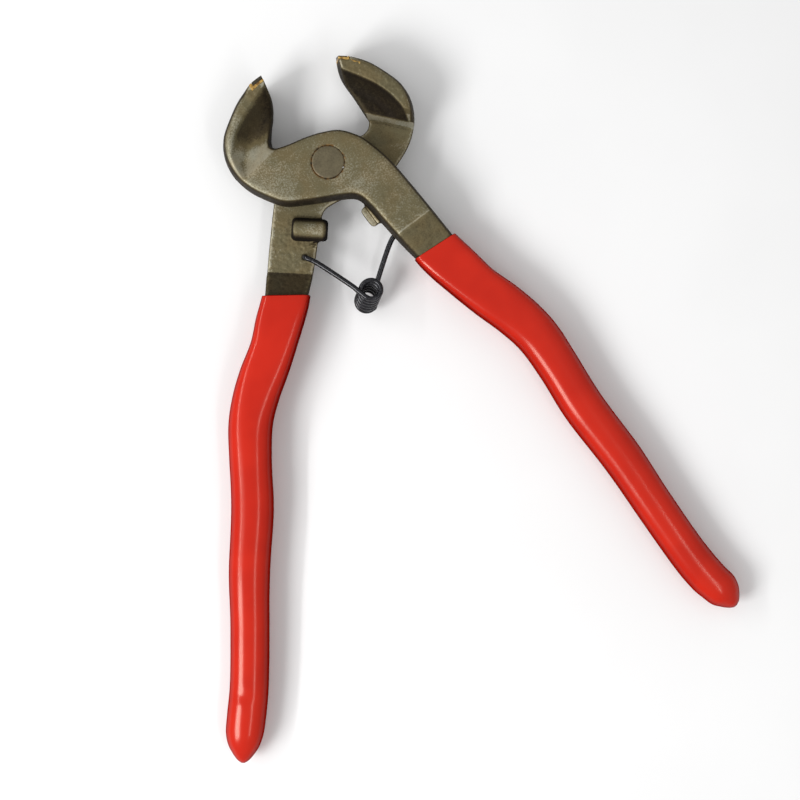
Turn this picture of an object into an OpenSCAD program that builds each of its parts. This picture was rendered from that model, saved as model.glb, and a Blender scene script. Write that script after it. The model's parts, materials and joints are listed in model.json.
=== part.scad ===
// Carbide-tipped tile nippers: two identical lap-jointed forgings, a flush rivet, brazed
// cutting tips, a torsion return spring and dipped vinyl grips.
// The tool lies on its rear face (z = 0), open by 2 x half_open. +Z runs along the rivet,
// and +Y runs from the rivet towards the jaws, midway between them.

/* [Joint] */
// Thickness of one lever at the joint
plate_t = 8; // [6:0.5:10]
// Running gap between the two mating faces
lap_gap = 0.1; // [0.05:0.01:0.2]
// Angle of each lever from closed in the stored pose
half_open = 20; // [5:1:22]
// Radius of the rivet shank
rivet_r = 4.7; // [3.5:0.1:5.5]
// Running clearance between the rivet and the front lever
rivet_gap = 0.05; // [0.02:0.01:0.1]

/* [Jaws] */
// Thickness of the web that backs the claw
web_t = 5; // [4:0.5:6]
// Length of the carbide tip along the top of the claw
tip_len = 3.5; // [3:0.5:5]
// Thickness of the carbide tip
tip_t = 1; // [0.8:0.1:1.5]
// Thickness of the braze layer under and behind the tip
braze_t = 0.7; // [0.4:0.1:0.8]

/* [Stop lug] */
// Length of the lug across the shank
lug_len = 10; // [8:0.5:11]
// Radius of the lug
lug_r = 3.2; // [2.5:0.1:3.4]

/* [Handles] */
// Distance from the rivet to the end of a grip when closed
grip_end = 173; // [165:1:180]
// Distance from the rivet to the top of a grip when closed
grip_top = 38; // [37:0.5:40]
// Wall of the dipped grip
grip_wall = 1.4; // [1:0.1:1.8]

/* [Spring] */
// Wire diameter
wire_d = 1.4; // [1:0.1:1.6]
// Mean radius of the coil
coil_r = 2.85; // [2.5:0.05:3.2]
// Whole turns in the coil
coil_turns = 5; // [4:1:5]
// How far the coil's axis leans, top end over bottom end
coil_lean = [2.6, 2.7];

/* [Hidden] */

wide = 2 * plate_t;          // width of the jaws, both levers together
mid = plate_t;               // height of the mating faces
mate_z = mid + lap_gap / 2;  // the front lever's own mating face

STEEL = [0.42, 0.38, 0.28];
CARBIDE = [0.17, 0.15, 0.1];
BRAZE = [0.72, 0.55, 0.27];
RUST = [0.33, 0.24, 0.15];
BLACK = [0.08, 0.08, 0.09];
RED = [0.8, 0.16, 0.09];

// ---- curves -------------------------------------------------------------------------

// Point on a Catmull-Rom curve through b and c, with neighbours a and d
function bend(a, b, c, d, t) =
    0.5 * (2 * b + (c - a) * t + (2 * a - 5 * b + 4 * c - d) * t * t
           + (3 * b - a - 3 * c + d) * t * t * t);

// Smooth open curve through points p, with n steps between neighbours
function smooth(p, n = 4) = concat(
    [for (i = [0 : len(p) - 2]) for (k = [0 : n - 1])
        bend(p[max(i - 1, 0)], p[i], p[i + 1], p[min(i + 2, len(p) - 1)], k / n)],
    [p[len(p) - 1]]);

// ---- lever outline, closed pose, front lever: jaw on -X, handle on +X ------------------

top_y = 31;        // the claw's top face
shank_end = 38;    // where the flat shank hands over to the tang inside the grip

// From the cutting edge down the back of the claw, to the neck
claw_back = [[-0.4, top_y], [-5, top_y], [-10, 29.9], [-15, 27.4], [-20, 23.9], [-22.9, 19.2],
             [-23.9, 13.5], [-22.9, 7.6], [-20.1, 1.9], [-17, -2.3]];
// From the neck under the boss and down the inner edge of the shank
inner_edge = [[-11.9, -5.5], [-7.7, -7.8], [-2.7, -10.5], [0.5, -13], [1.6, -17.2], [2.1, -24],
              [2.8, -31], [4, -shank_end]];
// Up the outer edge of the shank, to the boss
shank_edge = [[16.4, -shank_end], [16.2, -30], [15.8, -20], [15.1, -10], [13.8, -3.4],
              [12.2, 1.2]];
// Over the boss to the notch beside the jaw; the rear lever is cut back further there
front_boss = [[8.6, 6], [3.6, 8.8], [-1.4, 10.5], [-5.6, 11.5], [-8.1, 12.3], [-9.4, 13],
              [-9.8, 14]];
rear_boss = [[8.4, 5.2], [3.4, 7.4], [-1.6, 8.3], [-5.8, 8.6], [-8.8, 9.2], [-10.5, 11],
             [-10.8, 13.1]];
// From the notch up the mouth side of the web, to the cutting edge
web_edge = [[-9.2, 15.3], [-6.9, 18], [-4.9, 20.1], [-3, 22.6], [-1.7, 25.2], [-0.8, 28.6]];
// Inside of the claw wall, from the cutting edge to where it runs out at the neck
claw_inside = [[-0.8, 28.6], [-3, 27.3], [-8, 26], [-13, 23.8], [-17, 21], [-20, 17.3],
               [-21.7, 13], [-21.8, 10.5]];

module outline(boss) polygon(concat(smooth(concat(claw_back, inner_edge)),
                                    smooth(concat(shank_edge, boss)), smooth(web_edge)));

// The claw wall alone, as seen along the rivet
module claw_wall() {
    foot = len(claw_inside) - 1;
    intersection() {
        outline(front_boss);
        polygon(concat([[1, 40], [-40, 40], [-40, claw_inside[foot][1]]],
                       smooth([for (i = [foot : -1 : 0]) claw_inside[i]]), [[1, 28.6]]));
    }
}

// Side profile of the lever as [y, z]: thin web in the jaw, flat plate, then a shank that
// drops to the middle of the tool
module side_profile() {
    tang_top = mid + 4.4;
    tang_bottom = mid - 4.4;
    polygon([[40, mid + web_t / 2], [19, mid + web_t / 2], [11, wide], [-28, wide],
             [-shank_end, tang_top], [-shank_end, tang_bottom], [-32, mate_z], [12, mate_z],
             [15.5, mid - web_t / 2], [40, mid - web_t / 2]]);
}

// ---- spring layout in the closed pose ---------------------------------------------------

hook = [5.6, -26.7];             // spring hole in a mating face
hook_depth = 3;                  // how deep the holes are
hook_r = wire_d / 2;
tight_gap = 0.06;                // hole clearance at the rear hook, which is a hinge
free_gap = 0.5;                  // hole clearance at the front hook, the open pivot
arm_len = 21.4;                  // from a hook to the coil's centre

function turned(p, a) = [p[0] * cos(a) - p[1] * sin(a), p[0] * sin(a) + p[1] * cos(a)];
rear_hook = turned([-hook[0], hook[1]], -half_open);
front_hook = turned(hook, half_open);
coil_c = [0, rear_hook[1] - sqrt(arm_len * arm_len - rear_hook[0] * rear_hook[0])];

// ---- lever ------------------------------------------------------------------------------

// Stop lug: half a rod lying on the mating face, with sloped ends. Its inner end overhangs
// the shank, where it is flat on the side away from the other lever.
module stop_lug() {
    slope = 1.4;
    lug_at = [-0.7, -18.8, mate_z];
    inside_shank = 3;
    difference() {
        translate(lug_at) rotate([0, 90, 0]) {
            cylinder(r1 = lug_r - slope, r2 = lug_r, h = slope, $fn = 48);
            translate([0, 0, slope]) cylinder(r = lug_r, h = lug_len - 2 * slope, $fn = 48);
            translate([0, 0, lug_len - slope])
                cylinder(r1 = lug_r, r2 = lug_r - slope, h = slope, $fn = 48);
        }
        translate([lug_at[0] - 1, lug_at[1] - 5, mid - lap_gap]) cube([inside_shank + 1, 10, 10]);
    }
}

// Seat cut into the claw for the carbide tip and its braze
module tip_seat() {
    len = tip_len + braze_t;
    translate([-0.4 - len, top_y - tip_t - braze_t, -1]) cube([len + 5, 5, wide + 2]);
}

// The forging in the closed pose as the front lever, with its bore and spring hole
module forging(bore_r, hole_r, boss) {
    difference() {
        union() {
            intersection() {
                linear_extrude(wide) outline(boss);
                rotate([90, 0, 90]) translate([0, 0, -40]) linear_extrude(80) side_profile();
            }
            linear_extrude(wide) claw_wall();
            stop_lug();
            tang(0.05);
        }
        tip_seat();
        translate([0, 0, -1]) cylinder(r = bore_r, h = wide + 2, $fn = 96);
        translate([hook[0], hook[1], mate_z - 1])
            cylinder(r = hole_r, h = hook_depth + 1, $fn = 48);
    }
}

// Places a piece made for the closed front lever on either lever in the stored pose
module on_front() rotate([0, 0, half_open]) children();
module on_rear() rotate([0, 0, -half_open]) translate([0, 0, wide]) rotate([0, 180, 0]) children();

// ---- handles ----------------------------------------------------------------------------

// Stations down the handle: [y, centre x, width, thickness]
handle = [[-37.5, 10.2, 13.6, 11.6], [-45, 11.4, 14, 11.8], [-52, 12.8, 13.4, 11.8],
          [-60, 15.1, 13.8, 11.8], [-68, 17.2, 13.4, 11.6], [-76, 18.3, 12.7, 11.4],
          [-86, 17.8, 12.3, 11.2], [-100, 16.5, 12.2, 11], [-118, 16.5, 11.8, 10.8],
          [-134, 15.5, 11.3, 10.6], [-150, 14.9, 11.2, 10.4], [-160, 15.3, 11.2, 10.2],
          [-165, 15.5, 10.7, 9.6], [-168.5, 15.6, 8.8, 7.8], [-171, 15.7, 5.2, 4.8],
          [-173, 15.7, 1.6, 1.6]];
grip_scale = (grip_end - grip_top) / 135;
ring_n = 20;

// One ring of a rounded-rectangle section at station s, shrunk by inset
function ring(s, inset) = [for (k = [0 : ring_n - 1])
    let (a = 360 * k / ring_n, c = cos(a), w = s[2] / 2 - inset, t = s[3] / 2 - inset, e = 0.75)
    [s[1] + w * sign(c) * pow(abs(c), e), -grip_top + (s[0] + 38) * grip_scale,
     mid + t * sign(sin(a)) * pow(abs(sin(a)), e)]];

// Solid swept through rings of equal length
module sweep(rings) {
    m = len(rings[0]);
    last = len(rings) - 1;
    polyhedron(
        points = [for (r = rings) for (p = r) p],
        faces = concat(
            [[for (k = [0 : m - 1]) k]],
            [for (i = [0 : last - 1]) for (k = [0 : m - 1])
                [i * m + k, (i + 1) * m + k, (i + 1) * m + (k + 1) % m]],
            [for (i = [0 : last - 1]) for (k = [0 : m - 1])
                [i * m + k, (i + 1) * m + (k + 1) % m, i * m + (k + 1) % m]],
            [[for (k = [m - 1 : -1 : 0]) last * m + k]]));
}

// The handle's core, from inside the shank to short of the grip's end
module tang(gap = 0) {
    body = [for (s = handle) if (s[0] > -166) s];
    head = [-36.4, 10, 13.4, 11.4];
    sweep([for (s = smooth(concat([head], body), 2)) ring(s, grip_wall + gap)]);
}

module dipped_grip() {
    difference() {
        sweep([for (s = smooth(handle, 2)) ring(s, 0)]);
        tang();
        translate([-10, -grip_top, 0]) cube([40, 10, wide]);
    }
}

// ---- spring -----------------------------------------------------------------------------

leg_heading = atan2(coil_c[1] - rear_hook[1], coil_c[0] - rear_hook[0]);
wrap = 360 * coil_turns + 2 * (-leg_heading);      // turn from one leg to the other
pitch = wire_d + 0.05;
coil_h = pitch * wrap / 360;
wire_sides = 8;
step_a = 20;

half_gap = 0.3;    // axial gap where the coil is cut into its two halves

// Centreline of the coil at angle a from its top end, leaning along coil_lean
function coil_point(a) =
    let (f = 0.5 - a / wrap)
    [coil_c[0] + coil_lean[0] * f + coil_r * cos(a + leg_heading - 90),
     coil_c[1] + coil_lean[1] * f + coil_r * sin(a + leg_heading - 90),
     mid + coil_h * f + sign(f) * half_gap / 2];

function unit(v) = v / norm(v);

// Ring of wire around point i of path p
function wire_ring(p, i) =
    let (d = unit(p[min(i + 1, len(p) - 1)] - p[max(i - 1, 0)]),
         side = unit(cross(d, [0, 0, 1])), up = cross(d, side))
    [for (k = [0 : wire_sides - 1]) let (a = 360 * (k + 0.5) / wire_sides)
        p[i] + hook_r * (cos(a) * side + sin(a) * up)];

module wire(p) sweep([for (i = [0 : len(p) - 1]) wire_ring(p, i)]);

half_wrap = wrap / 2 - 7;
half_steps = round(half_wrap / step_a);
leg_z = 2;         // how far the legs run from the mating plane at the hooks
pin_l = 2.4;       // how far a hook reaches into its hole

// Arm whose leg runs from a hook to the coil, bowed towards the other leg, and whose share of
// the turns follows. leg_side is 1 above the mating plane and -1 below it.
module spring_arm(hook_at, from_a, to_a, leg_side, bow) {
    start = [hook_at[0], hook_at[1], mid + leg_side * leg_z];
    coil = [for (i = [0 : half_steps]) coil_point(from_a + (to_a - from_a) * i / half_steps)];
    along = unit(coil[0] - start);
    kink = start + 0.55 * (coil[0] - start) + bow * leg_side * [-along[1], along[0], 0];
    wire(concat([start, kink], coil));
    translate([hook_at[0], hook_at[1], mid + (leg_side > 0 ? -pin_l : -leg_z)])
        cylinder(r = hook_r, h = pin_l + leg_z, $fn = 48);
}

// ---- sub-parts --------------------------------------------------------------------------

module rear_lever() color(STEEL) on_rear() forging(rivet_r, hook_r + tight_gap, rear_boss);
module front_lever() color(STEEL)
    on_front() forging(rivet_r + rivet_gap, hook_r + free_gap, front_boss);

module pivot_rivet() color(RUST) cylinder(r = rivet_r, h = wide, $fn = 96);

module carbide_tip() {
    translate([-0.4 - tip_len, top_y - tip_t, 0]) cube([tip_len, tip_t, wide]);
}
module rear_carbide_tip() color(CARBIDE) on_rear() carbide_tip();
module front_carbide_tip() color(CARBIDE) on_front() carbide_tip();

// L-shaped braze layer under and behind the carbide tip
module braze() {
    difference() {
        translate([-0.4 - tip_len - braze_t, top_y - tip_t - braze_t, 0])
            cube([tip_len + braze_t, tip_t + braze_t, wide]);
        translate([-0.4 - tip_len, top_y - tip_t, -1]) cube([tip_len + 1, tip_t + 1, wide + 2]);
    }
}
module rear_braze() color(BRAZE) on_rear() braze();
module front_braze() color(BRAZE) on_front() braze();

module spring_rear_arm() color(BLACK) spring_arm(rear_hook, 0, half_wrap, 1, 0.5);
module spring_front_arm() color(BLACK) spring_arm(front_hook, wrap, wrap - half_wrap, -1, 1.4);

module rear_grip() color(RED) on_rear() dipped_grip();
module front_grip() color(RED) on_front() dipped_grip();

rear_lever();
front_lever();
pivot_rivet();
rear_carbide_tip();
front_carbide_tip();
rear_braze();
front_braze();
spring_rear_arm();
spring_front_arm();
rear_grip();
front_grip();
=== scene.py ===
"""Looks of the carbide-tipped tile nippers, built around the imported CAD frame.

The levers' shapes are worked out in millimetres as if the jaws were shut, for the front lever (jaw on
-X, handle on +X), and are then placed on either lever in the stored, open pose.
"""

import json
import math

import bpy
import numpy as np
import openvdb
from mathutils import Matrix, Vector


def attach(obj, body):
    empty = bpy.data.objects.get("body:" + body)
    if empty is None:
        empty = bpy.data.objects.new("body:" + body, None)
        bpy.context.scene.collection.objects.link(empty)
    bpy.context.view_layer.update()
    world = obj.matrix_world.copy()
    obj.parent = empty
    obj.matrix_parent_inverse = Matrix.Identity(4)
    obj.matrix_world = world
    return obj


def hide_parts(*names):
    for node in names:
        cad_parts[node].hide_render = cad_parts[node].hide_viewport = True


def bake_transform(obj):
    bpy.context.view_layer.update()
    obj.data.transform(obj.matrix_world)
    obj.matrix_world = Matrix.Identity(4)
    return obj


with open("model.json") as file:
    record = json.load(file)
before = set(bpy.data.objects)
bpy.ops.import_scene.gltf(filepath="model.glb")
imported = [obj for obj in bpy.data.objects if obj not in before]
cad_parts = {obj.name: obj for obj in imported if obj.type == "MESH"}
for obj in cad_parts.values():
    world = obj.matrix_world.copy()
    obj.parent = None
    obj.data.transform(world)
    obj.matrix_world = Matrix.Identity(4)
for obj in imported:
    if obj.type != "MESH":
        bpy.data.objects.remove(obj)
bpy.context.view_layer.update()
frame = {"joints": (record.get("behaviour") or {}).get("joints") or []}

MM = 0.001
# How far each lever is turned from shut jaws in the stored pose
HALF_OPEN = math.radians(20)
JOINTS = {j["name"]: j for j in frame["joints"]}
# Middle plane between the levers, and the tool's whole thickness above z = 0
MID = JOINTS["jaw_pivot"]["pos_m"][2] / MM
WIDE = 2 * MID
# Slope of the forging's side walls
DRAFT = math.tan(math.radians(6))

# ---- small maths -------------------------------------------------------------------------------


def smooth_curve(points, steps=8):
    """Catmull-Rom curve through the points, as an array of rows."""
    p = np.array(points, float)
    padded = np.vstack([p[:1], p, p[-1:]])
    rows = []
    for i in range(len(p) - 1):
        a, b, c, d = padded[i:i + 4]
        for k in range(steps):
            t = k / steps
            rows.append(0.5 * (2 * b + (c - a) * t + (2 * a - 5 * b + 4 * c - d) * t ** 2
                               + (3 * b - a - 3 * c + d) * t ** 3))
    rows.append(p[-1])
    return np.array(rows)


def distance(path, x, y):
    """Distance from each grid point to an open path."""
    best = np.full(x.shape, 1e9)
    for (ax, ay), (bx, by) in zip(path[:-1], path[1:]):
        dx, dy = bx - ax, by - ay
        long2 = max(dx * dx + dy * dy, 1e-12)
        t = np.clip(((x - ax) * dx + (y - ay) * dy) / long2, 0, 1)
        best = np.minimum(best, (x - ax - t * dx) ** 2 + (y - ay - t * dy) ** 2)
    return np.sqrt(best)


def signed_distance(loop, x, y):
    """Distance to a closed loop, negative inside."""
    ring = np.vstack([loop, loop[:1]])
    inside = np.zeros(x.shape, bool)
    for (ax, ay), (bx, by) in zip(ring[:-1], ring[1:]):
        if ay != by:
            inside ^= ((ay > y) != (by > y)) & (x < (bx - ax) * (y - ay) / (by - ay) + ax)
    d = distance(ring, x, y)
    return np.where(inside, -d, d)


def smax(a, b, k):
    """Maximum with its corner rounded over about k."""
    h = np.maximum(k - np.abs(a - b), 0) / k
    return np.maximum(a, b) + h * h * k / 4


def smin(a, b, k):
    """Minimum with its corner rounded over about k."""
    return -smax(-a, -b, k)


def ramp(x, start, end):
    """0 before start, 1 after end, and smooth between."""
    t = np.clip((x - start) / (end - start), 0, 1)
    return t * t * (3 - 2 * t)


# ---- placing -----------------------------------------------------------------------------------

TO_FRONT = Matrix.Rotation(HALF_OPEN, 4, "Z")
TO_REAR = (Matrix.Rotation(-HALF_OPEN, 4, "Z") @ Matrix.Translation((0, 0, WIDE))
           @ Matrix.Rotation(math.pi, 4, "Y"))
SIDES = {"front": TO_FRONT, "rear": TO_REAR}


def add_mesh(name, points_mm, faces, place=None):
    """A mesh object from millimetre points, moved by place, in metres."""
    pts = np.asarray(points_mm, float)
    if place is not None:
        m = np.array(place)
        pts = pts @ m[:3, :3].T + m[:3, 3]
    mesh = bpy.data.meshes.new(name)
    mesh.from_pydata((pts * MM).tolist(), [], [list(map(int, f)) for f in faces])
    mesh.validate()
    mesh.update()
    mesh.shade_smooth()
    obj = bpy.data.objects.new(name, mesh)
    bpy.context.scene.collection.objects.link(obj)
    return obj


def mesh_volume(field, low, step):
    """Points and quads of the surface where the field, negative inside, is zero."""
    grid = openvdb.FloatGrid(3.0)
    grid.copyFromArray(np.ascontiguousarray(field, dtype=np.float32))
    points, quads = grid.convertToQuads(0.0)
    return points * step + np.array(low), quads


def loft(name, rings, place):
    """Closed skin through rings of equal length, with flat ends."""
    rings = [np.asarray(r, float) for r in rings]
    m, count = len(rings[0]), len(rings)
    points = np.vstack(rings)
    faces = [tuple(range(m))[::-1]]
    for i in range(count - 1):
        for k in range(m):
            j = (k + 1) % m
            faces.append((i * m + k, i * m + j, (i + 1) * m + j, (i + 1) * m + k))
    faces.append(tuple((count - 1) * m + k for k in range(m)))
    first = points[list(faces[1])]
    normal = np.cross(first[1] - first[0], first[3] - first[0])
    if normal @ (first[0] - rings[0].mean(0)) < 0:
        faces = [f[::-1] for f in faces]
    return add_mesh(name, points, faces, place)


def wire_rings(path, radius, sides=16):
    """Rings of a round wire along the path, square to it and free of twist."""
    path = np.asarray(path, float)
    along = np.gradient(path, axis=0)
    along /= np.linalg.norm(along, axis=1)[:, None]
    up = np.array([0.3, 0.2, 1.0])
    rings = []
    a = np.arange(sides) * 2 * math.pi / sides
    for p, d in zip(path, along):
        up = up - d * (up @ d)
        up /= np.linalg.norm(up)
        across = np.cross(d, up)
        rings.append(p + radius * (np.outer(np.cos(a), across) + np.outer(np.sin(a), up)))
    return rings


# ---- the handles' shape ------------------------------------------------------------------------

# Stations down the handle: y, centre x, width, thickness, and how square the section is
HANDLE = [(-38, 10.2, 13.6, 9.8, 0.34), (-40.5, 10.5, 13.9, 11.0, 0.36),
          (-45, 11.4, 14.0, 11.7, 0.4), (-52, 12.8, 13.4, 11.7, 0.46),
          (-60, 15.1, 13.8, 11.7, 0.55), (-68, 17.2, 13.4, 11.5, 0.68),
          (-76, 18.3, 12.7, 11.3, 0.8), (-86, 17.8, 12.3, 11.2, 0.85),
          (-100, 16.5, 12.2, 11.0, 0.88), (-118, 16.5, 11.8, 10.8, 0.9),
          (-134, 15.5, 11.3, 10.6, 0.9), (-150, 14.9, 11.2, 10.4, 0.92),
          (-159, 15.2, 11.2, 10.2, 0.95)]
ENDS = {"rear": [(-164, 15.5, 10.9, 9.7, 0.97), (-167.5, 15.6, 9.2, 8.2, 1),
                 (-170, 15.6, 6.4, 5.8, 1), (-171.8, 15.6, 3.6, 3.4, 1), (-172.7, 15.6, 1.2, 1.2, 1)],
        "front": [(-164, 16.2, 10.9, 9.8, 0.97), (-167, 16.5, 9.4, 8.4, 1),
                  (-169, 16.8, 6.8, 6.0, 1), (-170.6, 17, 3.9, 3.6, 1), (-171.4, 17, 1.4, 1.4, 1)]}
# The grip's rim: lower on the outer side, and a little further up the front handle
RIM_TILT = math.tan(math.radians(4))
RIM_SHIFT = {"rear": 0, "front": 1.1}
# The tang inside the grip: thickness of vinyl round it, where it starts and where it ends
GRIP_WALL = 1.45
TANG_TOP = -40.2
TANG_END = -166
# How far each handle sits outwards of those stations: y and shift
SHIFTS = {"rear": [(-38, 0.1), (-60, 0.3), (-100, 0.25), (-134, 0.2), (-173, 0.1)],
          "front": [(-38, 0), (-76, 0.05), (-100, 0.2), (-134, 0.4), (-159, 0.5), (-173, 0)]}


def handle_rings(side, inset, span=None, sides=64):
    """Rounded-rectangle rings down one handle, shrunk by inset; span keeps those between two heights."""
    rows = smooth_curve(HANDLE + ENDS[side], 10)
    if span:
        rows = np.array([r for r in rows if span[1] < r[0] < span[0] - 1.5])
        rows = np.vstack([[span[0], 10.4, 13.2, 10, 0.4], rows])
    shift_y, shift = np.array(SHIFTS[side]).T
    a = np.arange(sides) * 2 * math.pi / sides
    c, s = np.cos(a), np.sin(a)
    rings = []
    for y, x, width, thick, square in rows:
        sx = np.sign(c) * np.abs(c) ** square
        sz = np.sign(s) * np.abs(s) ** square
        half_w, half_t = max(width / 2 - inset, 0.3), max(thick / 2 - inset, 0.3)
        x = x + np.interp(-y, -shift_y, shift)
        tilt = RIM_TILT * ramp(y, -60, -42)
        y = y + RIM_SHIFT[side] * ramp(y, -46, -38)
        rings.append(np.stack([x + half_w * sx, y - tilt * half_w * sx, MID + half_t * sz], 1))
    return rings


# ---- the forging -------------------------------------------------------------------------------

# Carbide tip: the cutting edge's corner, length and thickness, and the braze under it
TOP_Y = 31
TIP_X = -0.4
TIP_LEN = 3.5
TIP_T = 1.0
TIP_END = TIP_X - TIP_LEN
TIP_FLOOR = TOP_Y - TIP_T
BRAZE_T = 0.7
# Mating face of the front lever
LAP_GAP = 0.1
MATE = MID + LAP_GAP / 2
# The claw's web, to either side of the middle plane
WEB_HALF = 2.4
RIVET_R = 4.7
RIVET_GAP = 0.02
# Stop lug: middle, half its length and radius
LUG_X = 4.45
LUG_Y = -18.8
LUG_HALF = 5.15
LUG_R = 3.2
# Spring hole, with more room in the front lever, where the hook floats
HOOK = (5.6, -26.7)
HOLE_R = {"rear": 0.85, "front": 1.3}
HOLE_DEPTH = 3
SHANK_END = -40.5
# Where the shank starts to thin towards the grip, on the outer face and on the mating face
OUTER_CREASE = -28.2
INNER_CREASE = -31.6

# The outline: the claw's back from the tip, the inner edge down to the grip, and the outer edge back up
CLAW_BACK = [(TIP_X, TOP_Y), (-5, TOP_Y), (-10, 29.9), (-15, 27.4), (-20, 23.9), (-22.9, 19.2),
             (-23.9, 13.5), (-22.9, 7.6), (-20.1, 1.9), (-17, -2.3)]
INNER_EDGE = [(-11.9, -5.5), (-7.7, -7.8), (-2.7, -10.5), (0.5, -13), (1.6, -17.2), (2.1, -24),
              (2.8, -31), (4, -38), (4.5, SHANK_END)]
SHANK_EDGE = [(16.5, SHANK_END), (16.4, -38), (16.2, -30), (15.8, -20), (15.1, -10),
              (13.8, -3.4), (12.2, 1.2)]
# The top of the boss and the notch; the rear forging is cut back further there
BOSSES = {"front": [(8.6, 6), (3.6, 8.8), (-1.4, 10.5), (-5.6, 11.5), (-8.1, 12.3), (-9.4, 13),
                    (-9.8, 14)],
          "rear": [(8.4, 5.2), (3.4, 7.4), (-1.6, 8.3), (-5.8, 8.6), (-8.8, 9.2), (-10.5, 11),
                   (-10.8, 13.1)]}
# The web's free edge from the notch up to the tip
WEBS = {"front": [(-9.2, 15.3), (-6.9, 18), (-4.9, 20.1), (-3, 22.6), (-1.7, 25.2), (-0.8, 28.6)],
        "rear": [(-9.2, 15.3), (-7.4, 17.8), (-5.5, 20.3), (-3.5, 22.8), (-2, 25.4), (-0.8, 28.6)]}
# Inside of the claw's edge band, seen on the outer face and on the mating face
CREASE_OUT = [(-0.8, 28.9), (-5, 27.4), (-9.6, 25.9), (-13.4, 24.5), (-16.2, 23), (-18.5, 20.9),
              (-20.6, 18.3), (-21.8, 15.6), (-22.2, 12.5), (-22, 9.5)]
CREASE_IN = [(-0.8, 28.2), (-2, 27), (-7.3, 25.2), (-12.3, 23.2), (-16.1, 20.9), (-18.4, 19),
             (-20.4, 16.9), (-22.1, 14), (-23.2, 11.3)]


def claw_loop(crease):
    """Closed loop round the claw's edge band, outside the given crease."""
    outside = [(-32, crease[-1][1]), (-32, 40), (2, 40), (2, crease[0][1])]
    return np.vstack([smooth_curve(crease), outside])


def ramp_line(x, y):
    """How far up the jaw from the line where the boss face drops away."""
    return y - (12.6 + 0.116 * x)


def shoulder_line(x, y):
    """How far up the jaw from the mating face's shoulder, where the step to the web starts."""
    return y - (15.45 + 0.15 * x)


def rough(shape, blur, seed):
    """Random field of unit spread, blurred over blur cells."""
    noise = np.random.default_rng(seed).standard_normal(shape)
    waves = np.meshgrid(*[np.fft.fftfreq(n) for n in shape], indexing="ij")
    keep = np.exp(-2 * (math.pi * blur) ** 2 * sum(f ** 2 for f in waves))
    soft = np.real(np.fft.ifftn(np.fft.fftn(noise) * keep))
    return soft / soft.std()


def grid_of(step, low, high):
    """The three axes of a grid between two corners."""
    return [np.arange(a, b, step) for a, b in zip(low, high)]


def outline_of(side):
    """Closed outline of one side's forging, seen along the rivet."""
    return np.vstack([smooth_curve(CLAW_BACK + INNER_EDGE), smooth_curve(SHANK_EDGE + BOSSES[side]),
                      smooth_curve(WEBS[side])])


def back_fall(x, y, from_tip):
    """How far each face of the jaw falls away towards the claw's back."""
    back_d = distance(smooth_curve(CLAW_BACK[:8]), x, y)
    crown = np.clip(1 - back_d / 2.6, 0, 1) ** 2 * from_tip
    return 1.5 * crown * ramp(y, 10, 15)


def outer_face(x, y, fall):
    """Height of the boss, the ramp into the hollow, its wall up to the edge band, and the shank."""
    out_d = signed_distance(claw_loop(CREASE_OUT), x, y)
    neck = WIDE - 0.69 * np.maximum(ramp_line(x, y), 0)
    wall = WIDE - 0.95 * np.maximum(out_d, 0)
    web = MID + WEB_HALF + 0.05 * np.maximum(out_d, 0)
    top = smax(smax(neck, wall, 1.2), web, 2.5)
    top = smin(top, np.full(x.shape, WIDE), 0.4)
    foot = np.exp(-((y - 15.0) / 3.2) ** 2)
    top = top - 1.3 * foot * ramp(-x, 15, 21)
    top = top - fall
    shank = WIDE - 0.36 * np.maximum(OUTER_CREASE - y, 0)
    top = smin(top, shank, 0.25)
    return top + 0.1 * np.exp(-((y - OUTER_CREASE + 0.9) / 0.3) ** 2)


def mating_face(x, y, fall):
    """Height of the flat lap, the step to the web, the wall up to the edge band, and the shank."""
    in_d = signed_distance(claw_loop(CREASE_IN), x, y)
    wall = 1.7 * np.maximum(in_d, 0)
    web = MID - WEB_HALF - 0.05 * np.maximum(in_d, 0)
    pocket = smin(wall, web, 2.5)
    shoulder_t = shoulder_line(x, y)
    step_t = shoulder_t + 0.3
    bottom = smax(pocket, MATE - 1.8 * np.maximum(step_t, 0), 0.5)
    bottom = np.where(step_t > 0, bottom, MATE)
    bottom = bottom + fall * (shoulder_t > 0)
    drop = MATE - 0.5 * np.maximum(INNER_CREASE - y, 0)
    return smin(bottom, drop, 0.4)


def above(height, z, step):
    """Distance, roughly, of each grid point above a face with the given heights."""
    gx, gy = np.gradient(height, step)
    steep = np.minimum(np.sqrt(1 + gx ** 2 + gy ** 2), 2.5)
    return (z - height[:, :, None]) / steep[:, :, None]


def lug_field(x, y, z):
    """Stop lug: half a rod on the mating face, flat at the back where it overhangs the shank."""
    rod = np.hypot(y - LUG_Y, z - MATE) - LUG_R
    rod = smax(rod, np.abs(x - LUG_X) - LUG_HALF, 1.4)
    return smax(rod, z - (MATE + 1), 0.1)


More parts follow.
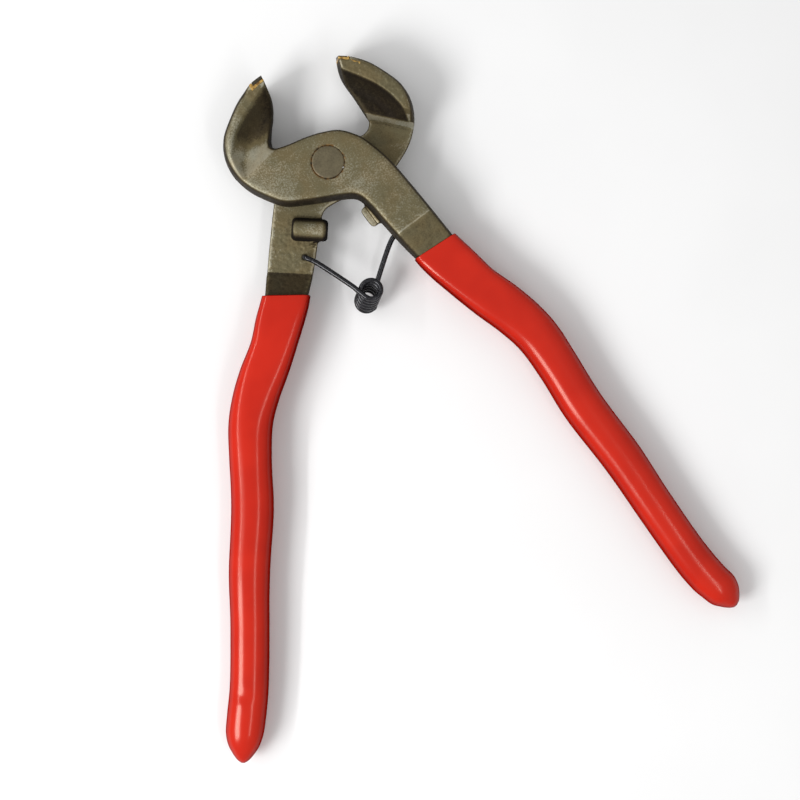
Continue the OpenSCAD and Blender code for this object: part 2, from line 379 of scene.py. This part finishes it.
def body_field(step, low, high, side="front"):
    """Signed distance, roughly, of the forging before the seat and bores are cut."""
    axes = grid_of(step, low, high)
    x, y = np.meshgrid(axes[0], axes[1], indexing="ij")
    from_tip = ramp(-x, 3.5, 8.5)
    fall = back_fall(x, y, from_tip)
    top = outer_face(x, y, fall)
    bottom = mating_face(x, y, fall)

    # Hammer marks by the lug, and the slight unevenness of a forged skin
    marks = np.exp(-((x - 3.3) / 1.0) ** 2 - ((y + 23.0) / 1.2) ** 2)
    bottom = bottom - 0.42 * marks * np.sin(7 * y + 2 * x)
    face = ramp(y, 8, 16) + ramp(-y, 14, 18)
    top = top - 0.05 + 0.035 * rough(x.shape, 0.5 / step, 3) * face
    bottom = bottom + 0.05 + 0.045 * rough(x.shape, 0.28 / step, 4) * face

    # Side walls with draft, but ground flat by the cutting edge, where the corners are sharp too
    z = axes[2][None, None, :]
    sharp = ((1 - from_tip) * ramp(y, 22, 27))[:, :, None]
    ground = (ramp(x, -15, -1) * ramp(y, 18, 27))[:, :, None] * (z > MID)
    outline_d = signed_distance(outline_of(side), x, y)[:, :, None]
    walls = outline_d + DRAFT * (1 - ground) * np.abs(z - MID)
    field = smax(walls, above(top, z, step), 1.7 - 1.5 * sharp)
    field = smax(field, -above(bottom, z, step), 0.7 - 0.5 * sharp)

    # The lug, with nothing in front of its flat where it passes the shank's inner edge
    x, y = x[:, :, None], y[:, :, None]
    field = smin(field, lug_field(x, y, z), 0.9)
    in_front = np.maximum(np.maximum(x - 1.0, np.abs(y - LUG_Y) - 4.5), 7.9 - z)
    return np.maximum(field, -in_front)


def forging_field(step, low, high, side):
    """The body with its tip seat, rivet bore and spring hole."""
    field = body_field(step, low, high, side)
    x, y, z = np.meshgrid(*grid_of(step, low, high), indexing="ij", sparse=True)
    seat = np.maximum(TIP_END - BRAZE_T - x, TIP_FLOOR - BRAZE_T - y)
    field = np.maximum(field, -seat)
    field = np.maximum(field, RIVET_R + RIVET_GAP - np.hypot(x, y))
    hole = np.hypot(x - HOOK[0], y - HOOK[1]) - HOLE_R[side]
    return np.maximum(field, -np.maximum(hole, z - MATE - HOLE_DEPTH))


def blurred(field, passes):
    """The field averaged with its neighbours, several times over."""
    for _ in range(passes):
        for axis in range(3):
            field = (np.roll(field, 1, axis) + 2 * field + np.roll(field, -1, axis)) / 4
    return field


def sample(grid, low, step, points):
    """Trilinear values of the grid at the points."""
    f = (points - np.array(low)) / step
    i = np.clip(np.floor(f).astype(int), 0, np.array(grid.shape) - 2)
    t = f - i
    total = 0
    for corner in np.ndindex(2, 2, 2):
        weight = np.prod(np.where(corner, t, 1 - t), axis=1)
        j = i + np.array(corner)
        total = total + weight * grid[j[:, 0], j[:, 1], j[:, 2]]
    return total


def thinned(points, faces, ratio):
    """Points, faces and normals of the mesh after collapsing edges down to a ratio of its faces."""
    raw = add_mesh("raw", points / MM, faces)
    raw.modifiers.new("thin", "DECIMATE").ratio = ratio
    mesh = bpy.data.meshes.new_from_object(raw.evaluated_get(bpy.context.evaluated_depsgraph_get()))
    co = np.array([v.co for v in mesh.vertices])
    normals = np.array([v.normal for v in mesh.vertices])
    kept = [tuple(f.vertices) for f in mesh.polygons]
    old = raw.data
    bpy.data.objects.remove(raw)
    bpy.data.meshes.remove(old)
    bpy.data.meshes.remove(mesh)
    return co, kept, normals


def outer_tone(x, y, z):
    """Tone of the outer face: the edge band, painted shade in the hollow, a painted highlight on the
    boss, and painted shade on the shank below a painted highlight along its crease.
    """
    out_d = signed_distance(claw_loop(CREASE_OUT), x, y)
    # Painted shade mask: below the face and beyond the ramp line, inside the jaw's hollow
    painted_recess_shade = np.maximum(ramp(WIDE - z, 0.4, 1.6), ramp(out_d, 1, 2)) * ramp(ramp_line(x, y), 0, 0.8)
    # Painted shade in the hollow, darker towards the tip and the mouth
    hollow = 1.0 - 0.47 * ramp(y + 0.35 * (x + 15), 14.5, 22.5)
    web_d = distance(smooth_curve(WEBS["front"]), x, y)
    # More painted shade close to the web's free edge
    hollow = hollow - 0.2 * (1 - ramp(web_d, 0.5, 5)) * ramp(y, 14, 19)
    band = 0.8 + 0.08 * ramp(-x, 10, 15)
    # Painted highlight: a soft bright patch on the boss beside the rivet, and a little more light down
    # the shank
    painted_sheen = 0.1 * np.exp(-((x - 2.5) ** 2 + (y + 8.5) ** 2) / 22) + 0.03 * ramp(-y, 5, 12)
    tone = band + (hollow - band) * painted_recess_shade + painted_sheen
    # Painted shade on the shank below the outer crease, and a painted highlight along the crease
    tone = np.where(y < OUTER_CREASE, 0.74, tone)
    return tone + 0.16 * np.exp(-((y - OUTER_CREASE) / 0.25) ** 2)


def mating_tone(x, y):
    """Tone of the mating face: the neck, a painted highlight on the step, painted black shade in the
    pocket and painted shade on the shank.
    """
    in_d = signed_distance(claw_loop(CREASE_IN), x, y)
    shoulder_t = shoulder_line(x, y)
    painted_recess_shade = ramp(in_d, -0.1, 0.5) * ramp(shoulder_t, 1.0, 1.5)
    neck = 0.8 - 0.06 * ramp(y, -4, 5)
    # Painted highlight on the step up to the web, where it faces the light
    tone = neck + (0.96 - neck) * ramp(shoulder_t, -0.4, 0.0)
    tone = np.where(shoulder_t > 3, 0.78, tone)
    # Painted shade: the pocket beyond the step is made nearly black
    tone = tone + (0.32 - tone) * painted_recess_shade
    # Painted shade on the shank below the inner crease
    return np.where(y < INNER_CREASE, 0.47, tone)


def forging_tone(p, n, curve, side):
    """How light the steel is at each point, with painted light and shade: 0 for painted black shade in a
    recess, 1 for a painted highlight or a bright worn edge.
    """
    x, y, z = p.T
    up = n[:, 2]
    tone = np.where(up > 0, outer_tone(x, y, z), mating_tone(x, y))

    # Painted shade on upright walls, deeper on the lug, apart from the step's wall, which keeps its
    # painted light
    inner = -signed_distance(outline_of(side), x, y)
    lug = (np.abs(y - LUG_Y) < 4) & (z < MATE - 0.4) & (x < 11)
    flat = ramp(np.abs(up), 0.5, 0.93)
    flat = np.where(lug, flat, np.maximum(flat, ramp(inner, 0.9, 1.6)))
    shoulder_t = shoulder_line(x, y)
    painted_lit_step = (up < -0.3) & (shoulder_t > -0.5) & (shoulder_t < 1.4)
    flat = np.where(painted_lit_step, 1, flat)
    painted_wall_shade = np.where(lug, 0.12, 0.3)
    tone = painted_wall_shade + (tone - painted_wall_shade) * flat
    # Painted shade on the lug's inner end
    tone = np.where(lug & (x < 0.9), tone - 0.35 * ramp(-x, -0.9, -0.2), tone)

    # Outside corners are worn bright, and inside corners get painted shade
    worn = 0.16 * np.clip(curve, 0, 1) * np.where(inner > 1.5, 0.12, 1)
    return np.clip(tone + worn - 0.12 * np.clip(-curve, 0, 1), 0, 1)


def build_levers():
    """Each lever's forging with its tone of painted light, shade and wear, and the tang that runs on
    inside the grip.
    """
    step = 0.25
    low, high = (-26, SHANK_END - 1, -1.5), (18.5, 33, 18)
    for side, place in SIDES.items():
        field = forging_field(step, low, high, side)
        points, quads = mesh_volume(field, low, step)
        points, faces, normals = thinned(points, quads, 0.4)
        # Curvature at each point: about 1 on a sharp edge and -1 in a sharp groove
        soft = blurred(field, 4)
        bend = sum(np.roll(soft, 1, k) + np.roll(soft, -1, k) - 2 * soft for k in range(3))
        curve = sample(bend / step ** 2, low, step, points) / 0.8 - 0.1
        tone = forging_tone(points, normals, curve, side)
        lever = add_mesh(f"{side}_forging", points, faces, place)
        attribute = lever.data.attributes.new("tone", "FLOAT", "POINT")
        attribute.data.foreach_set("value", tone.astype(np.float32))
        lever.data.materials.append(MATERIALS["steel"])
        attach(lever, f"{side}_side")
        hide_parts(f"{side}_lever")
        tang = loft(f"{side}_tang", handle_rings(side, GRIP_WALL, (TANG_TOP, TANG_END)), place)
        tang.data.materials.append(MATERIALS["steel"])
        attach(tang, f"{side}_side")


# ---- carbide tips and braze --------------------------------------------------------------------


def tip_field(body, behind):
    """The carbide tip: what the seat takes of the body, a little proud of it."""
    return smax(behind, body - 0.02, 0.12)


def braze_field(body, behind, x, y, z):
    """Braze round the tip: a layer in the seat, with a wedge and a streak that ran out of it."""
    uneven = 0.12 * rough(body.shape, 6, 5)
    near_front = ramp(z, 11, 15)
    under = 0.62 + 0.3 * ramp(-x, 1.5, 4.2)
    layer = np.maximum((TIP_FLOOR - under) - y, (TIP_END - 0.75 - 0.3 * near_front) - x)
    layer = np.maximum(layer, -behind)
    wedge = np.maximum(0.35 * (30 - y) - x - 1.05, 27.4 - y) + 1.5 * near_front
    streak_y = 29.5 + 0.3 * (x + 4.4)
    streak = np.maximum(np.abs(y - streak_y) - 0.28, -7.6 - x) + 4 * ramp(z, 0.6, 1.6)
    streak = np.maximum(streak, -0.9)
    blob = smin(smin(layer, wedge, 0.2), streak, 0.2) + uneven
    blob = np.maximum(blob, -behind)
    return smax(np.maximum(blob, -(body + 1.1)), body - 0.07, 0.1)


def build_tips():
    """The carbide tip and its braze, made once and placed on both levers."""
    step = 0.1
    low, high = (-8.6, 26.4, -0.6), (0.6, 31.8, 16.6)
    body = body_field(step, low, high)
    x, y, z = np.meshgrid(*grid_of(step, low, high), indexing="ij", sparse=True)
    behind = np.maximum(TIP_END - x, TIP_FLOOR - y)
    fields = (("carbide_tip", tip_field(body, behind), 0.3, "carbide"),
              ("braze", braze_field(body, behind, x, y, z), 0.4, "braze"))
    for name, field, ratio, slot in fields:
        points, quads = mesh_volume(field, low, step)
        points, faces, _ = thinned(points, quads, ratio)
        for side, place in SIDES.items():
            piece = add_mesh(f"{side}_{name}_piece", points, faces, place)
            piece.data.materials.append(MATERIALS[slot])
            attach(piece, f"{side}_side")
            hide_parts(f"{side}_{name}")


# ---- rivet -------------------------------------------------------------------------------------


def build_rivet():
    """Flush rivet, peened a little unevenly."""
    head = [(1.6, 0.05), (3.2, 0.02), (4.1, -0.01), (4.45, -0.05), (4.62, -0.16),
            (RIVET_R, -0.32), (RIVET_R, -1.2)]
    profile = [(r, WIDE + h - 0.08) for r, h in head] + [(r, 0.08 - h) for r, h in head[::-1]]
    sides = 128
    angle = np.arange(sides) * 2 * math.pi / sides
    wobble = np.random.default_rng(11).uniform(-1, 1, 6)
    worn = sum(w * np.cos((k + 2) * angle + 7 * w) for k, w in enumerate(wobble)) / 6
    rings = []
    for r, z in profile:
        radius = r + (0.08 * worn if 4 < r < 4.65 else 0)
        rings.append(np.stack([radius * np.cos(angle), radius * np.sin(angle), np.full(sides, z)], 1))
    rivet = loft("rivet", rings, None)
    rivet.data.materials.append(MATERIALS["rivet"])
    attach(rivet, "rear_side")
    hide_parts("pivot_rivet")


def build_bead():
    """Bead of scale at the rivet's rim."""
    way, rim_r = math.radians(-36), 4.55
    rings = []
    for k in range(1, 9):
        lift = math.pi * (k - 4.5) / 9
        rings.append([(rim_r * math.cos(way) + 0.34 * math.cos(lift) * math.cos(b),
                       rim_r * math.sin(way) + 0.3 * math.cos(lift) * math.sin(b),
                       WIDE - 0.16 + 0.26 * math.sin(lift)) for b in np.arange(20) * math.pi / 10])
    bead = loft("rivet_bead", rings, None)
    bead.data.materials.append(MATERIALS["bead"])
    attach(bead, "rear_side")


# ---- return spring -----------------------------------------------------------------------------

# Radius of the wire in the legs and in the coil, and the coil's radius and rise per turn
WIRE_R = 0.76
COIL_WIRE_R = 0.72
COIL_R = 2.85
PITCH = 1.46
TURNS = 5
# How far the coil's front end sits from its back end, across the tool
COIL_LEAN = (2.6, 2.7)


def leg_path(hook, end, up, bow):
    """Points from inside the lever's hole to near the coil; up is 1 for a leg in front of its lever."""
    start = np.array([hook[0], hook[1], MID + up * 2.0])
    pin = np.array([hook[0], hook[1], MID - up * 2.4])
    along = (end - start) / np.linalg.norm(end - start)
    across = np.array([-along[1], along[0], 0])
    kink = start + 0.72 * (end - start) + bow * up * across
    return [pin, start - np.array([0, 0, up * 1.8]), start - np.array([0, 0, up * 0.9]),
            start + along * 0.9, start + 0.2 * (end - start) + bow * up * across,
            kink, kink + 0.5 * (end - kink)]


def build_spring():
    """A leg from each hook, and the coil between them; in the stored pose."""
    rear_hook = np.array(JOINTS["spring_rear_hook"]["pos_m"]) / MM
    front_hook = rear_hook * (-1, 1, 1)
    centre = np.array(JOINTS["spring_coil"]["pos_m"]) / MM
    heading = math.atan2(centre[1] - rear_hook[1], centre[0] - rear_hook[0])
    wrap = TURNS * 2 * math.pi - 2 * heading
    height = PITCH * wrap / (2 * math.pi)

    turns = []
    for a in np.linspace(0, wrap, 190):
        f = 0.5 - a / wrap
        b = a + heading - math.pi / 2
        turns.append([centre[0] + COIL_LEAN[0] * f + COIL_R * math.cos(b),
                      centre[1] + COIL_LEAN[1] * f + COIL_R * math.sin(b), MID + height * f])
    turns = np.array(turns)

    legs = (("rear", rear_hook, 1, 0.5, [turns[0], turns[2]]),
            ("front", front_hook, -1, 1.5, [turns[-1], turns[-3]]))
    for side, hook, up, bow, tail in legs:
        path = smooth_curve(leg_path(hook, tail[0], up, bow) + tail, 8)
        piece = loft(f"spring_leg_{side}", wire_rings(path, WIRE_R), None)
        piece.data.materials.append(MATERIALS["wire"])
        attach(piece, f"spring_{side}")
        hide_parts(f"spring_{side}_arm")

    coil = loft("spring_coil", wire_rings(turns, COIL_WIRE_R), None)
    coil.data.materials.append(MATERIALS["wire"])
    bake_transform(coil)


# ---- grips -------------------------------------------------------------------------------------


def grip_skin(side):
    """Rings of the grip's outside, with the slight swell of dipped vinyl and the rear grip's dent."""
    rng = np.random.default_rng(21 if side == "front" else 22)
    waves = rng.uniform(0, 2 * math.pi, (5, 2))
    skin = []
    for ring in handle_rings(side, 0):
        mid = ring.mean(0)
        y = mid[1]
        out = ring - mid
        angle = np.arctan2(out[:, 2], out[:, 0])
        swell = sum(np.sin(y / (3.1 + 1.7 * k) + w[0]) * np.sin((k % 3) * angle + w[1])
                    for k, w in enumerate(waves)) * 0.022
        if side == "rear":
            dent = np.exp(-((y + 152.5) / 1.5) ** 2) - 0.6 * np.exp(-((y + 155.5) / 1.6) ** 2)
            swell = swell - 0.22 * dent * np.exp(-((angle + 1.2) / 0.5) ** 2)
        fade = ramp(-y, 38, 42) * ramp(y, -172, -166)
        size = np.linalg.norm(out, axis=1)[:, None]
        skin.append(ring + out / size * (swell * fade)[:, None])
    return skin


def rolled_rim(first):
    """Rings of the grip's mouth: from the shank out to the skin's first ring, with a rounded lip."""
    out = first - first.mean(0)
    size = np.linalg.norm(out, axis=1)[:, None]
    rim = []
    for back, drop in ((2.4, -3.0), (2.1, -0.7), (1.5, -0.12), (0.9, 0.0), (0.4, -0.12), (0.1, -0.4)):
        ring = first - out / size * back
        ring[:, 1] += drop
        rim.append(ring)
    return rim


def build_grips():
    """The dipped grips, from inside the rim to the closed end."""
    for side, place in SIDES.items():
        skin = grip_skin(side)
        rim = rolled_rim(skin[0])
        skin[0] = skin[0] + (0, -0.8, 0)
        grip = loft(f"{side}_dipped_grip", rim + skin, place)
        grip.data.materials.append(MATERIALS["vinyl"])
        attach(grip, f"{side}_side")
        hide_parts(f"{side}_grip")


# ---- materials ---------------------------------------------------------------------------------


class Shader:
    """A material, with short calls that add and link its nodes."""

    def __init__(self, name, metallic, roughness, specular=0.5):
        self.material = bpy.data.materials.new(name)
        self.material.use_nodes = True
        self.tree = self.material.node_tree
        self.out = self.tree.nodes["Principled BSDF"]
        self.out.inputs["Metallic"].default_value = metallic
        self.out.inputs["Roughness"].default_value = roughness
        self.out.inputs["Specular IOR Level"].default_value = specular
        self.coords = self.tree.nodes.new("ShaderNodeTexCoord").outputs["Object"]

    def link(self, a, b):
        self.tree.links.new(a, b)

    def noise(self, size_mm, detail=3.0, roughness=0.5):
        """Noise in the object's own space, with features of about the given size."""
        node = self.tree.nodes.new("ShaderNodeTexNoise")
        node.inputs["Scale"].default_value = 1 / (size_mm * MM)
        node.inputs["Detail"].default_value = detail
        node.inputs["Roughness"].default_value = roughness
        self.link(self.coords, node.inputs["Vector"])
        return node.outputs["Fac"]

    def math(self, operation, a, b=None, clamp=False):
        """One sum, of numbers or of other nodes' outputs."""
        node = self.tree.nodes.new("ShaderNodeMath")
        node.operation = operation
        node.use_clamp = clamp
        for socket, value in zip(node.inputs, (a, b)):
            if value is None:
                continue
            if isinstance(value, (int, float)):
                socket.default_value = value
            else:
                self.link(value, socket)
        return node.outputs[0]

    def stretch(self, value, low, high):
        """The value mapped so that low becomes 0 and high becomes 1."""
        node = self.tree.nodes.new("ShaderNodeMapRange")
        node.inputs["From Min"].default_value = low
        node.inputs["From Max"].default_value = high
        self.link(value, node.inputs["Value"])
        return node.outputs["Result"]

    def colours(self, value, stops):
        """The value as a colour, from stops of place and colour."""
        node = self.tree.nodes.new("ShaderNodeValToRGB")
        node.color_ramp.interpolation = "EASE"
        while len(node.color_ramp.elements) < len(stops):
            node.color_ramp.elements.new(0.5)
        for element, (place, colour) in zip(node.color_ramp.elements, stops):
            element.position = place
            element.color = (*colour, 1)
        self.link(value, node.inputs["Fac"])
        return node.outputs["Color"]

    def mix(self, factor, a, b, blend="MIX"):
        """Two colours mixed; each input is a number, a colour or another node's output."""
        node = self.tree.nodes.new("ShaderNodeMix")
        node.data_type = "RGBA"
        node.blend_type = blend
        for name, value in (("Factor_Float", factor), ("A_Color", a), ("B_Color", b)):
            socket = next(i for i in node.inputs if i.identifier == name)
            if isinstance(value, (int, float)):
                socket.default_value = value
            elif isinstance(value, tuple):
                socket.default_value = (*value, 1)
            else:
                self.link(value, socket)
        return next(o for o in node.outputs if o.identifier == "Result_Color")

    def bump(self, height, strength, depth_mm):
        """Fine relief on the surface, from a height of 0 to 1."""
        node = self.tree.nodes.new("ShaderNodeBump")
        node.inputs["Strength"].default_value = strength
        node.inputs["Distance"].default_value = depth_mm * MM
        self.link(height, node.inputs["Height"])
        self.link(node.outputs["Normal"], self.out.inputs["Normal"])

    def paint(self, colour, roughness=None):
        """Colour and, if given, roughness of the surface."""
        self.link(colour, self.out.inputs["Base Color"])
        if roughness is not None:
            self.link(roughness, self.out.inputs["Roughness"])

    def near_rim(self, low_mm, high_mm):
        """0 to 1 between two distances from the rivet's rim, outwards of it when positive."""
        node = self.tree.nodes.new("ShaderNodeSeparateXYZ")
        self.link(self.coords, node.inputs[0])
        squares = [self.math("MULTIPLY", node.outputs[k], node.outputs[k]) for k in (0, 1)]
        radius = self.math("SQRT", self.math("ADD", *squares))
        return self.stretch(radius, (RIVET_R + low_mm) * MM, (RIVET_R + high_mm) * MM)

    def rust(self):
        """Rust round the rivet, from nearly black to yellow brown."""
        return self.colours(self.noise(0.8, 2), [(0.35, (0.03, 0.018, 0.008)),
                                                 (0.6, (0.15, 0.072, 0.014))])

    def facing_up(self):
        """1 on faces that look straight up or down, 0 on upright walls."""
        geometry = self.tree.nodes.new("ShaderNodeNewGeometry")
        node = self.tree.nodes.new("ShaderNodeSeparateXYZ")
        self.link(geometry.outputs["Normal"], node.inputs[0])
        return self.math("ABSOLUTE", node.outputs[2])


# Colour of the steel by tone, from painted black shade in a recess to a painted highlight or a bright
# worn edge
STEEL_STOPS = [(0.0, (0.004, 0.003, 0.003)), (0.25, (0.014, 0.009, 0.004)),
               (0.5, (0.050, 0.037, 0.018)), (0.8, (0.142, 0.116, 0.060)), (1.0, (0.34, 0.31, 0.23))]


def steel_material():
    """Forged steel coloured by its tone of painted light, shade and wear, with grain, blotches and rust
    patches round the rivet.
    """
    m = Shader("forged_steel", 0.5, 0.55, 0.3)
    tone = m.tree.nodes.new("ShaderNodeAttribute")
    tone.attribute_name = "tone"
    grain = m.noise(0.45, 3, 0.6)
    blotch = m.noise(4.5, 3, 0.55)
    fine = m.math("MULTIPLY", m.math("SUBTRACT", grain, 0.5), 0.38)
    coarse = m.math("MULTIPLY", m.math("SUBTRACT", blotch, 0.5), 0.16)
    shifted = m.math("ADD", m.math("ADD", tone.outputs["Fac"], fine), coarse, True)
    colour = m.colours(shifted, STEEL_STOPS)
    hue = m.colours(m.noise(7, 2), [(0.35, (1.0, 0.94, 0.82)), (0.65, (0.9, 0.97, 1.0))])
    colour = m.mix(0.6, colour, hue, "MULTIPLY")
    ring = m.near_rim(0.6, 0.1)
    patches = m.stretch(m.noise(1.2, 2), 0.4, 0.56)
    rust = m.math("MULTIPLY", ring, patches, True)
    colour = m.mix(rust, colour, m.rust())
    m.paint(colour, m.stretch(shifted, 2.2, -0.3))
    m.bump(m.math("ADD", grain, m.noise(1.1, 2)), 0.5, 0.14)
    return m.material


def rivet_material():
    """The rivet's ground face, with rust at its rim."""
    m = Shader("rivet_steel", 0.35, 0.5)
    grain = m.noise(0.5, 4, 0.6)
    blotch = m.noise(2.8, 3)
    mottle = m.math("ADD", m.math("MULTIPLY", grain, 0.3), m.math("MULTIPLY", blotch, 0.3))
    colour = m.colours(mottle, [(0.15, (0.075, 0.06, 0.032)), (0.45, (0.135, 0.112, 0.062))])
    ring = m.near_rim(-0.4, 0)
    patches = m.stretch(m.noise(1.2, 2), 0.38, 0.5)
    rust = m.math("MULTIPLY", ring, patches, True)
    colour = m.mix(rust, colour, m.rust())
    m.paint(colour, m.stretch(grain, -0.5, 1.6))
    m.bump(grain, 0.4, 0.1)
    return m.material


def bead_material():
    """Pale scale."""
    m = Shader("scale_bead", 0.5, 0.35)
    m.paint(m.colours(m.noise(0.2), [(0.35, (0.12, 0.1, 0.08)), (0.65, (0.5, 0.5, 0.48))]))
    return m.material


def carbide_material():
    """Dark, finely grained carbide."""
    m = Shader("carbide", 0.4, 0.4)
    grain = m.noise(0.25, 3)
    m.paint(m.colours(grain, [(0.3, (0.018, 0.014, 0.007)), (0.7, (0.05, 0.04, 0.02))]),
            m.stretch(grain, -0.4, 1.5))
    m.bump(grain, 0.3, 0.05)
    return m.material


def braze_material():
    """Brass-coloured braze, from brown to yellow."""
    m = Shader("braze", 0.3, 0.4)
    patch = m.noise(0.7, 3)
    m.paint(m.colours(patch, [(0.32, (0.16, 0.08, 0.02)), (0.5, (0.40, 0.24, 0.055)),
                              (0.72, (0.56, 0.38, 0.12))]), m.stretch(patch, -0.3, 1.6))
    m.bump(m.noise(0.35), 0.5, 0.08)
    return m.material


def wire_material():
    """Black wire with a dull shine in streaks."""
    m = Shader("spring_wire", 0.3, 0.22, 0.45)
    streak = m.noise(0.5, 3)
    m.paint(m.colours(streak, [(0.3, (0.004, 0.004, 0.005)), (0.7, (0.022, 0.022, 0.026))]),
            m.stretch(streak, -0.05, 2.6))
    m.bump(m.noise(0.25, 2), 0.25, 0.04)
    return m.material


def vinyl_material():
    """Red vinyl, with painted shade and a painted bluish reflection down the sides, and less shiny
    there.
    """
    m = Shader("dipped_vinyl", 0.0, 0.2)
    red = m.colours(m.noise(14, 2), [(0.35, (0.47, 0.010, 0.002)), (0.65, (0.52, 0.013, 0.003))])
    facing = m.facing_up()
    # Painted shade and a painted bluish reflection: the more upright the face, the darker and bluer the
    # red
    edge = m.colours(facing, [(0.0, (0.28, 0.3, 1.0)), (0.4, (0.6, 0.6, 1.0)), (0.8, (1, 1, 1))])
    m.paint(m.mix(1.0, red, edge, "MULTIPLY"))
    shine = m.math("MULTIPLY", m.stretch(facing, 0.4, 0.97), 0.42)
    m.link(shine, m.out.inputs["Specular IOR Level"])
    m.out.inputs["Specular Tint"].default_value = (1.0, 0.84, 0.72, 1)
    m.bump(m.noise(6, 2), 0.12, 0.2)
    return m.material


MATERIALS = {"steel": steel_material(), "rivet": rivet_material(), "bead": bead_material(),
             "carbide": carbide_material(), "braze": braze_material(), "wire": wire_material(),
             "vinyl": vinyl_material()}

build_levers()
build_tips()
build_rivet()
build_bead()
build_spring()
build_grips()

# ---- stage, light and camera -------------------------------------------------------------------


def build_stage():
    """White floor, tilted so that the tool rests by the shanks' crease and the thinner grips' ends."""
    half = 3000
    tilt = math.radians(1.15)
    crease_m = -0.028
    corners = [(-half, -half, 0), (half, -half, 0), (half, half, 0), (-half, half, 0)]
    floor = add_mesh("floor", corners, [(0, 1, 2, 3)])
    floor.matrix_world = Matrix.Translation((0, crease_m, 0)) @ Matrix.Rotation(-tilt, 4, "X")
    paper = Shader("paper", 0.0, 0.9)
    paper.paint(paper.colours(paper.noise(60), [(0.3, (0.84, 0.84, 0.84)), (0.7, (0.86, 0.86, 0.86))]))
    floor.data.materials.append(paper.material)


def area_light(name, place, aim, size, power, length=None, along=(0, 1, 0)):
    """Area light aimed at a point: a square, or a strip whose length runs along a direction."""
    data = bpy.data.lights.new(name, "AREA")
    data.shape = "RECTANGLE"
    data.size = size
    data.size_y = length or size
    data.energy = power
    lamp = bpy.data.objects.new(name, data)
    back = (Vector(place) - Vector(aim)).normalized()
    across = Vector(along).cross(back).normalized()
    turn = Matrix((across, back.cross(across), back)).transposed().to_4x4()
    lamp.matrix_world = Matrix.Translation(place) @ turn
    bpy.context.scene.collection.objects.link(lamp)


def build_camera():
    """Camera straight above the tool, turned by its roll."""
    distance_m = 0.525
    field_m = 0.230
    above_m = (-0.00019, -0.07044)
    roll = math.radians(-17)
    data = bpy.data.cameras.new("camera")
    data.angle = 2 * math.atan(field_m / 2 / distance_m)
    data.clip_start = 0.01
    camera = bpy.data.objects.new("camera", data)
    camera.location = (*above_m, MID * MM + distance_m)
    camera.rotation_euler = (0, 0, roll)
    bpy.context.scene.collection.objects.link(camera)
    bpy.context.scene.camera = camera


def build_lights():
    """A soft key light, two strips along the rear handle, and an even white sky."""
    along = (0.29, 0.96, 0)
    area_light("key", (-0.62, -0.22, 0.62), (0, -0.05, 0), 0.35, 5)
    area_light("strip", (-0.44, 0.18, 0.45), (-0.04, -0.06, 0), 0.03, 1.25, 0.7, along)
    area_light("fill", (0.16, -0.35, 0.62), (0, -0.1, 0), 0.05, 0.5, 0.4, along)
    world = bpy.data.worlds.new("studio")
    world.use_nodes = True
    world.node_tree.nodes["Background"].inputs["Color"].default_value = (1, 1, 1, 1)
    world.node_tree.nodes["Background"].inputs["Strength"].default_value = 0.55
    bpy.context.scene.world = world
    bpy.context.scene.view_settings.view_transform = "Standard"


build_stage()
build_camera()
build_lights()
